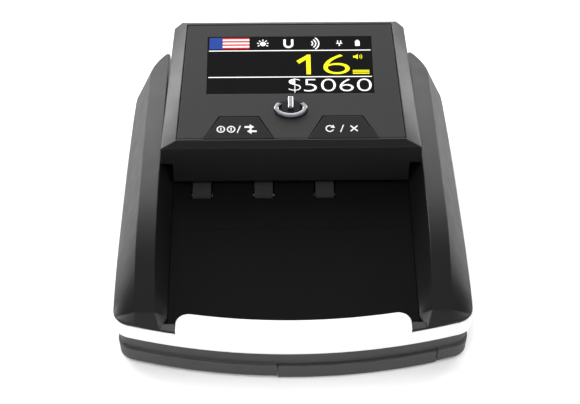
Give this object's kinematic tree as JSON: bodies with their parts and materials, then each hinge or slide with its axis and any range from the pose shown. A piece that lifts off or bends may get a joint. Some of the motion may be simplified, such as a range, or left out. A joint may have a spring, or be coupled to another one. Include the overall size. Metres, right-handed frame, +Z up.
{
  "type": "banknote counting machine",
  "caption": "Desktop banknote counter: open front tray between raised wings, pale trim band with a front lip, and a hinged head with tilted display, keys and power symbol.",
  "frame": {"origin": "centre of the plan outline, on the table plane under the rubber feet", "axes": "+X right, +Y to the back, +Z up; the tray's open end faces -Y"},
  "size_m": [0.1316, 0.1506, 0.0684],
  "materials": {
    "dark_base_plastic": "fine textured moulding",
    "pale_trim": "smooth glossy moulding",
    "satin_shell": "satin moulding",
    "tray_gloss": "gloss, lightly brushed by notes",
    "panel_satin": "very fine texture",
    "key_satin": "very fine texture, pale mark",
    "plated": "polished plating",
    "dark_glass": "polished clear cover over a lit display",
    "steel": "ground",
    "zinc_plate": "zinc plated sheet",
    "bronze": "sintered",
    "roller_rubber": "matt, fine grip",
    "foot_rubber": "matt",
    "gear_plastic": "unpainted moulding",
    "board_green": "solder mask",
    "component_black": "moulded",
    "pack_wrap": "heat-shrunk film",
    "lamp_clear": "clear dome",
    "window_tint": "tinted, polished"
  },
  "bodies": {
    "base": {"base_chassis": "dark_base_plastic", "trim_band": "pale_trim", "upper_shell": "satin_shell", "note_tray": "tray_gloss", "lower_guide": "tray_gloss", "left_side_plate": "zinc_plate", "right_side_plate": "zinc_plate", "shaft_bushes": "bronze", "drive_motor": "zinc_plate", "idler_post": "steel", "main_board": "board_green", "board_pillars": "component_black", "board_components": "component_black", "battery_pack": "pack_wrap", "power_inlet": "component_black", "speaker": "component_black", "sensor_window": "window_tint", "sensor_board": "board_green", "sensor_lamps": "lamp_clear", "hinge_pins": "steel", "rubber_feet": "foot_rubber", "housing_screws": "zinc_plate"},
    "door": {"battery_door": "dark_base_plastic"},
    "feed_roller_set": {"feed_shaft": "steel", "feed_rollers": "roller_rubber", "feed_gear": "gear_plastic"},
    "transport_roller_set": {"transport_shaft": "steel", "transport_rollers": "roller_rubber", "transport_gear": "gear_plastic"},
    "idler": {"idler_gear": "gear_plastic"},
    "motor_drive": {"motor_pinion": "bronze", "motor_shaft": "steel"},
    "head": {"head_shell": "satin_shell", "control_panel": "panel_satin", "display_window": "dark_glass", "display_module": "component_black", "key_board": "board_green", "key_switches": "component_black", "upper_guide": "tray_gloss", "pinch_carriers": "gear_plastic", "magnetic_head": "zinc_plate"},
    "power_key": {"power_button": "key_satin", "power_symbol": "plated"},
    "left_key_cap": {"left_key": "key_satin"},
    "right_key_cap": {"right_key": "key_satin"},
    "front_pinch_set": {"front_pinch_shaft": "steel", "front_pinch_rollers": "roller_rubber"},
    "rear_pinch_set": {"rear_pinch_shaft": "steel", "rear_pinch_rollers": "roller_rubber"}
  },
  "joints": [
    {"name": "head_hinge", "type": "hinge", "parent": "base", "child": "head", "pos_m": [0, 0.06, 0.0335], "axis": [-1, 0, 0], "range_deg": [0, 60]},
    {"name": "door_slide", "type": "slide", "parent": "base", "child": "door", "axis": [0, -1, 0], "range_m": [0, 0.042]},
    {"name": "power_press", "type": "slide", "parent": "head", "child": "power_key", "axis": [0, 0.2465, -0.9691], "range_m": [0, 0.0008], "stiffness_N_per_m": 900},
    {"name": "left_key_press", "type": "slide", "parent": "head", "child": "left_key_cap", "axis": [0, 0.2465, -0.9691], "range_m": [0, 0.0008], "stiffness_N_per_m": 900},
    {"name": "right_key_press", "type": "slide", "parent": "head", "child": "right_key_cap", "axis": [0, 0.2465, -0.9691], "range_m": [0, 0.0008], "stiffness_N_per_m": 900},
    {"name": "feed_spin", "type": "hinge", "parent": "base", "child": "feed_roller_set", "pos_m": [0, -0.001, 0.026], "axis": [1, 0, 0], "continuous": true},
    {"name": "transport_spin", "type": "hinge", "parent": "base", "child": "transport_roller_set", "pos_m": [0, 0.034, 0.026], "axis": [1, 0, 0], "continuous": true},
    {"name": "idler_spin", "type": "hinge", "parent": "base", "child": "idler", "pos_m": [0, 0.0165, 0.026], "axis": [1, 0, 0], "continuous": true},
    {"name": "motor_spin", "type": "hinge", "parent": "base", "child": "motor_drive", "pos_m": [0, 0.04589, 0.01736], "axis": [1, 0, 0], "continuous": true},
    {"name": "front_pinch_spin", "type": "hinge", "parent": "head", "child": "front_pinch_set", "pos_m": [0, 0.004, 0.03811], "axis": [1, 0, 0], "continuous": true},
    {"name": "rear_pinch_spin", "type": "hinge", "parent": "head", "child": "rear_pinch_set", "pos_m": [0, 0.034, 0.0391], "axis": [1, 0, 0], "continuous": true}
  ],
  "couplings": [
    {"joint": "transport_spin", "follows": "feed_spin", "ratio": 1},
    {"joint": "idler_spin", "follows": "feed_spin", "ratio": -1.5},
    {"joint": "motor_spin", "follows": "feed_spin", "ratio": -2.5}
  ]
}
